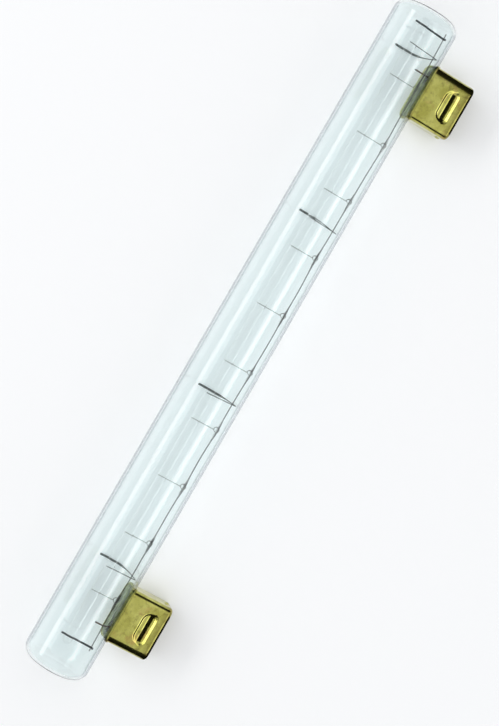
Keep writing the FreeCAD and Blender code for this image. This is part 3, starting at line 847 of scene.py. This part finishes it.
def place_camera():
    """Camera straight above the lamp, turned and shifted so that the lamp lies as in the photograph."""
    pixel = 2 * HALF_LENGTH / PHOTO_LENGTH
    dx = PHOTO_SIZE[0] / 2 - PHOTO_AXIS[0]
    dy = PHOTO_SIZE[1] / 2 - PHOTO_AXIS[1]
    across = dx * math.cos(PHOTO_LEAN) + dy * math.sin(PHOTO_LEAN)
    along = dx * math.sin(PHOTO_LEAN) - dy * math.cos(PHOTO_LEAN)
    x = (PHOTO_VANISH - PHOTO_MIDDLE) * pixel
    y = AXIS.y - across * pixel
    right = Vector((math.sin(PHOTO_LEAN), -math.cos(PHOTO_LEAN), 0))
    up = Vector((math.cos(PHOTO_LEAN), math.sin(PHOTO_LEAN), 0))
    data = bpy.data.cameras.new("camera")
    camera = bpy.data.objects.new("camera", data)
    bpy.context.scene.collection.objects.link(camera)
    turn = Matrix((right, up, Vector((0, 0, 1)))).transposed().to_4x4()
    camera.matrix_world = Matrix.Translation((x, y, AXIS.z + CAMERA_HEIGHT)) @ turn
    data.sensor_fit = "VERTICAL"
    data.sensor_height = SENSOR
    data.lens = SENSOR * CAMERA_HEIGHT / (PHOTO_SIZE[1] * pixel)
    data.clip_start = CLIP_START
    drop = (along - PHOTO_VANISH) / PHOTO_SIZE[1]
    data.shift_x = drop * math.sin(PHOTO_LEAN)
    data.shift_y = drop * math.cos(PHOTO_LEAN)
    bpy.context.scene.camera = camera


def soft_box(name, lean, reach, length, width, radiance, colour):
    """Long soft box beside the lamp, aimed at it, with the brightness that its face shows."""
    angle = math.radians(lean)
    place = AXIS + reach * Vector((0, -math.sin(angle), math.cos(angle)))
    data = bpy.data.lights.new(name, "AREA")
    data.shape = "RECTANGLE"
    data.size, data.size_y = length, width
    data.energy = radiance * math.pi * length * width
    data.color = linear(colour)[:3]
    light = bpy.data.objects.new(name, data)
    bpy.context.scene.collection.objects.link(light)
    back = (place - AXIS).normalized()
    side = Vector((1, 0, 0))
    turn = Matrix((side, back.cross(side).normalized(), back)).transposed().to_4x4()
    light.matrix_world = Matrix.Translation(place) @ turn
    light.visible_camera = False


def light_scene():
    """Two long soft boxes, which give the tube its two streaks, and a soft pale room."""
    for box in SOFT_BOXES:
        soft_box(*box)
    world = bpy.data.worlds.new("studio")
    world.use_nodes = True
    bpy.context.scene.world = world
    tree = world.node_tree
    tree.nodes.clear()
    where = add(tree, "ShaderNodeTexCoord")
    height = add(tree, "ShaderNodeSeparateXYZ", links={0: where.outputs["Generated"]})
    wall = ramp(tree, height.outputs["Z"], ((0.0, "#f5f6f7"), (1.0, "#eceeef")))
    room = add(tree, "ShaderNodeBackground", {"Strength": ROOM_STRENGTH}, {"Color": wall})
    plain = add(tree, "ShaderNodeBackground", {"Color": linear("#fafafb"), "Strength": 1.0})
    path = add(tree, "ShaderNodeLightPath")
    seen = add(
        tree,
        "ShaderNodeMixShader",
        links={0: path.outputs["Is Camera Ray"], 1: room.outputs[0], 2: plain.outputs[0]},
    )
    add(tree, "ShaderNodeOutputWorld", links={"Surface": seen.outputs[0]})


def black_card(name, low, high):
    """Flat black card between two corners, seen only by reflections; the cards give the caps their dark
    bands."""
    low, high = Vector(low), Vector(high)
    size = high - low
    turn = (0, 0, 0)
    if size.x == 0:
        turn = (0, math.pi / 2, 0)
        size = Vector((size.z, size.y, 0))
    elif size.y == 0:
        turn = (math.pi / 2, 0, 0)
        size = Vector((size.x, size.z, 0))
    bpy.ops.object.select_all(action="DESELECT")
    bpy.ops.mesh.primitive_plane_add(size=1.0, location=(low + high) / 2, rotation=turn)
    card = bpy.context.object
    card.name = name
    card.scale = (size.x, size.y, 1)
    bpy.ops.object.transform_apply(location=True, rotation=True, scale=True)
    card.data.materials.append(bpy.data.materials["black studio card"])
    card.visible_camera = False
    card.visible_diffuse = False
    card.visible_shadow = False
    card.visible_transmission = False


def make_cards():
    """Round each cap: one card beyond the tube's end, one before the cap's outer face and one that lies
    on the floor between."""
    tree = new_material("black studio card")[1]
    paint = add(tree, "ShaderNodeBsdfDiffuse", {"Color": linear("#0c0d0d")})
    add(tree, "ShaderNodeOutputMaterial", links={"Surface": paint.outputs[0]})
    back, front = LYING_CARD_EDGES
    for end, sign in (("upper", 1), ("lower", -1)):
        beyond = sign * CARD_FAR
        low, high = sorted((sign * CARD_NEAR, beyond))
        top = END_CARD_HEIGHTS[end]
        black_card(f"end_card_{end}", (beyond, CARD_SIDE, CARD_FOOT), (beyond, END_CARD_EDGE, top))
        black_card(f"side_card_{end}", (low, CARD_SIDE, CARD_FOOT), (high, CARD_SIDE, SIDE_CARD_HEIGHT))
        level = LYING_CARD_LEVEL
        black_card(f"lying_card_{end}", (low, back, level), (high, front, level))


def make_floor():
    """Plain pale floor that keeps the lamp's shadow, and glows a little wherever it is seen."""
    bpy.ops.object.select_all(action="DESELECT")
    bpy.ops.mesh.primitive_plane_add(size=FLOOR_SIZE, location=(0, 0, FLOOR_LEVEL))
    floor = bpy.context.object
    floor.name = "floor"
    bpy.ops.object.transform_apply(location=True)
    material, tree = new_material("matt white paper")
    paint = add(tree, "ShaderNodeBsdfDiffuse", {"Color": linear("#f1f1f2")})
    glow = add(tree, "ShaderNodeEmission", {"Color": linear("#ffffff"), "Strength": FLOOR_GLOW})
    both = add(tree, "ShaderNodeAddShader", links={0: paint.outputs[0], 1: glow.outputs[0]})
    path = add(tree, "ShaderNodeLightPath").outputs
    clear = combine(tree, "MAXIMUM", path["Is Camera Ray"], path["Is Transmission Ray"])
    seen = combine(tree, "MAXIMUM", clear, path["Is Glossy Ray"])
    mix = add(tree, "ShaderNodeMixShader", links={0: seen, 1: paint.outputs[0], 2: both.outputs[0]})
    add(tree, "ShaderNodeOutputMaterial", links={"Surface": mix.outputs[0]})
    floor.data.materials.append(material)


bpy.context.scene.view_settings.view_transform = "Standard"
place_camera()
light_scene()
make_floor()
make_cards()

# Thin clear wall, pale blue green where much of it is looked through; painted grey shade along both edges
tube_glass = clear_glass("drawn soda-lime glass", "#fbffff", "#949ba6", "#c6e2e3", index=1.5)
# The rod bends light less than real glass does, so that it shows as faintly as in the photograph
rod_glass = clear_glass("fire-polished glass rod", "#ffffff", "#f4f8f8", "#fafdfc", index=1.22)
brass = drawn_brass()

# Each metal has a light, a dark and an edge tone, a roughness, and the sizes of its clouds and its grain.
# Dark plating on stiff wire: bold lines, nearly black, with a dull shine
post_metal = metal("nickel-plated post wire", "#3d454a", "#1e2427", "#6a7074", 0.35, 0.8 * MM, 0.1 * MM)
# Strip rolled and left bare: dark grey with a soft sheen, a little lighter than the posts
spring_metal = metal("rolled nickel strip", "#59625f", "#363d3c", "#7c8481", 0.4, 0.8 * MM, 0.1 * MM)
# Fine drawn wire: light grey, so that it nearly fades into the glass
support_metal = metal("drawn molybdenum wire", "#8b938a", "#5e665e", "#c8ccc8", 0.4, 0.8 * MM, 0.1 * MM)
# Wire coiled and baked: a dark thread that hardly shines
tungsten = metal("coiled tungsten wire", "#2a2e2c", "#161918", "#3c403e", 0.5, 0.6 * MM, 0.1 * MM)
# Copper skin browned by the seal's heat: reddish brown
lead_metal = metal("copper-clad lead wire", "#6b524a", "#403532", "#a08c84", 0.4, 0.8 * MM, 0.1 * MM)
# Solder cooled in the air: pale grey and satin
solder = metal("cooled tin solder", "#cfcfca", "#a2a29d", "#ffffff", 0.35, 0.6 * MM, 0.2 * MM)
cement = basing_cement()

eye_places = [middle_of(f"filament_support_{i + 1:02d}") for i in range(len(EYE_LIFTS))]
spring_places = [middle_of(f"centring_spring_{i + 1}") for i in range(len(SPRING_SHIFTS))]
post_places = {end: middle_of(f"end_post_{end}") for end in ENDS}
lead_places = {end: middle_of(f"lead_wire_{end}") for end in ENDS}

make_tube(tube_glass)
make_rod(rod_glass, eye_places + spring_places + list(post_places.values()))
make_caps(brass)
make_filament(tungsten, eye_places)
make_supports(support_metal, eye_places)
make_springs(spring_metal, spring_places)
make_posts(post_metal, post_places)
make_leads(lead_metal, lead_places)
for end in ENDS:
    dress(f"cap_cement_{end}", cement)
    dress(f"side_seal_{end}", rod_glass)
    dress(f"solder_bead_{end}", solder)
